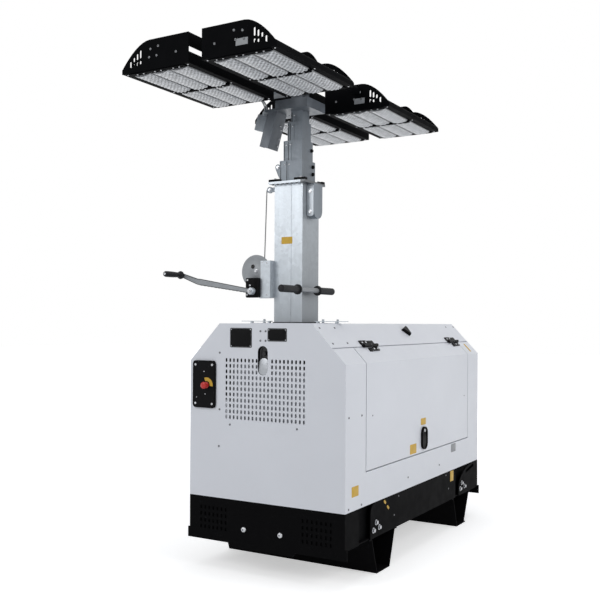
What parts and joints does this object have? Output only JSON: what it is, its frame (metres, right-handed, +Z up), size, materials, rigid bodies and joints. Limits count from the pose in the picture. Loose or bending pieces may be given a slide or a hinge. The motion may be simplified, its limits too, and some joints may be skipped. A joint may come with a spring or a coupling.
{
  "type": "mobile light tower",
  "caption": "Skid-mounted mobile light tower: canopy with lift-up doors on a steel base with channel feet, turning telescopic mast with hand winch, and tilting floodlights.",
  "frame": {"origin": "middle of the front channel foot's sole, on the floor", "axes": "+Z up; +Y from the end with the air grille towards the far end; +X towards the right-hand door"},
  "size_m": [1.1297, 2.52, 2.57],
  "materials": {
    "canopy_white": "satin powder coat",
    "base_black": "satin powder coat",
    "galvanised": "hot-dip galvanised, spangled",
    "black_plastic": "moulded, lightly textured",
    "lamp_black": "black powder-coated aluminium",
    "lens_white": "clear dimpled optics over white boards",
    "stop_red": "moulded",
    "engine_grey": "painted castings",
    "rubber": "ribbed grips on a metal bar",
    "rope_steel": "wire rope"
  },
  "bodies": {
    "chassis": {"base_frame": "base_black", "front_bumper": "base_black", "rear_bumper": "base_black", "front_corner_plate_right": "base_black", "front_corner_plate_left": "base_black", "side_plate_right": "base_black", "side_plate_left": "base_black", "rear_corner_plate_right": "base_black", "rear_corner_plate_left": "base_black", "front_foot": "base_black", "rear_foot": "base_black", "front_panel": "canopy_white", "rear_panel": "canopy_white", "front_post_right": "canopy_white", "front_post_left": "canopy_white", "rear_post_right": "canopy_white", "rear_post_left": "canopy_white", "sill_right": "canopy_white", "sill_left": "canopy_white", "roof_panel": "canopy_white", "engine_block": "engine_grey", "grille_screen": "canopy_white", "control_panel": "black_plastic", "stop_button": "stop_red", "hinge_right_1": "black_plastic", "hinge_right_2": "black_plastic", "hinge_left_1": "black_plastic", "hinge_left_2": "black_plastic", "mast_pivot": "galvanised"},
    "door_right": {"door_right": "canopy_white", "latch_right": "black_plastic"},
    "door_left": {"door_left": "canopy_white", "latch_left": "black_plastic"},
    "mast_base": {"mast_outer_tube": "galvanised", "roof_bush": "black_plastic", "winch_frame": "galvanised", "winch_drum": "galvanised", "winch_brake": "black_plastic", "rope_pulley": "galvanised", "winch_rope": "rope_steel", "turn_handle": "rubber", "cable_guide": "galvanised"},
    "crank": {"winch_crank": "galvanised"},
    "mast_section_2": {"mast_section_2": "galvanised"},
    "mast_section_3": {"mast_section_3": "galvanised"},
    "mast_section_4": {"mast_section_4": "galvanised"},
    "mast_section_5": {"mast_section_5": "galvanised", "head_beam": "galvanised", "lamp_shaft_right": "lamp_black", "lamp_shaft_left": "lamp_black", "cable_channel": "galvanised", "junction_box": "galvanised"},
    "lamp_near_right": {"lamp_housing_near_right": "lamp_black", "lamp_lens_near_right": "lens_white"},
    "lamp_near_left": {"lamp_housing_near_left": "lamp_black", "lamp_lens_near_left": "lens_white"},
    "lamp_far_right": {"lamp_housing_far_right": "lamp_black", "lamp_lens_far_right": "lens_white"},
    "lamp_far_left": {"lamp_housing_far_left": "lamp_black", "lamp_lens_far_left": "lens_white"}
  },
  "joints": [
    {"name": "door_right_hinge", "type": "hinge", "parent": "chassis", "child": "door_right", "pos_m": [0.39468, 0.5225, 1.16559], "axis": [0, -1, 0], "range_deg": [0, 85]},
    {"name": "door_left_hinge", "type": "hinge", "parent": "chassis", "child": "door_left", "pos_m": [-0.39468, 0.5225, 1.16559], "axis": [0, 1, 0], "range_deg": [0, 85]},
    {"name": "mast_turn", "type": "hinge", "parent": "chassis", "child": "mast_base", "pos_m": [0, -0.1225, 1.276], "axis": [0, 0, 1], "range_deg": [-170, 170]},
    {"name": "crank_turn", "type": "hinge", "parent": "mast_base", "child": "crank", "pos_m": [-0.1785, -0.2875, 1.447], "axis": [0, 1, 0], "range_deg": [-25, 150]},
    {"name": "mast_slide_2", "type": "slide", "parent": "mast_base", "child": "mast_section_2", "axis": [0, 0, 1], "range_m": [0, 1.35]},
    {"name": "mast_slide_3", "type": "slide", "parent": "mast_section_2", "child": "mast_section_3", "axis": [0, 0, 1], "range_m": [0, 1.35]},
    {"name": "mast_slide_4", "type": "slide", "parent": "mast_section_3", "child": "mast_section_4", "axis": [0, 0, 1], "range_m": [0, 1.35]},
    {"name": "mast_slide_5", "type": "slide", "parent": "mast_section_4", "child": "mast_section_5", "axis": [0, 0, 1], "range_m": [0, 1.35]},
    {"name": "lamp_tilt_near_right", "type": "hinge", "parent": "mast_section_5", "child": "lamp_near_right", "pos_m": [0.2488, -0.3275, 2.535], "axis": [0, -1, 0], "range_deg": [-40, 60]},
    {"name": "lamp_tilt_near_left", "type": "hinge", "parent": "mast_section_5", "child": "lamp_near_left", "pos_m": [-0.2128, -0.3275, 2.535], "axis": [0, 1, 0], "range_deg": [-40, 60]},
    {"name": "lamp_tilt_far_right", "type": "hinge", "parent": "mast_section_5", "child": "lamp_far_right", "pos_m": [0.2488, 0.0825, 2.535], "axis": [0, -1, 0], "range_deg": [-40, 60]},
    {"name": "lamp_tilt_far_left", "type": "hinge", "parent": "mast_section_5", "child": "lamp_far_left", "pos_m": [-0.2128, 0.0825, 2.535], "axis": [0, 1, 0], "range_deg": [-40, 60]}
  ],
  "couplings": [
    {"joint": "mast_slide_3", "follows": "mast_slide_2", "ratio": 1},
    {"joint": "mast_slide_4", "follows": "mast_slide_2", "ratio": 1},
    {"joint": "mast_slide_5", "follows": "mast_slide_2", "ratio": 1}
  ]
}
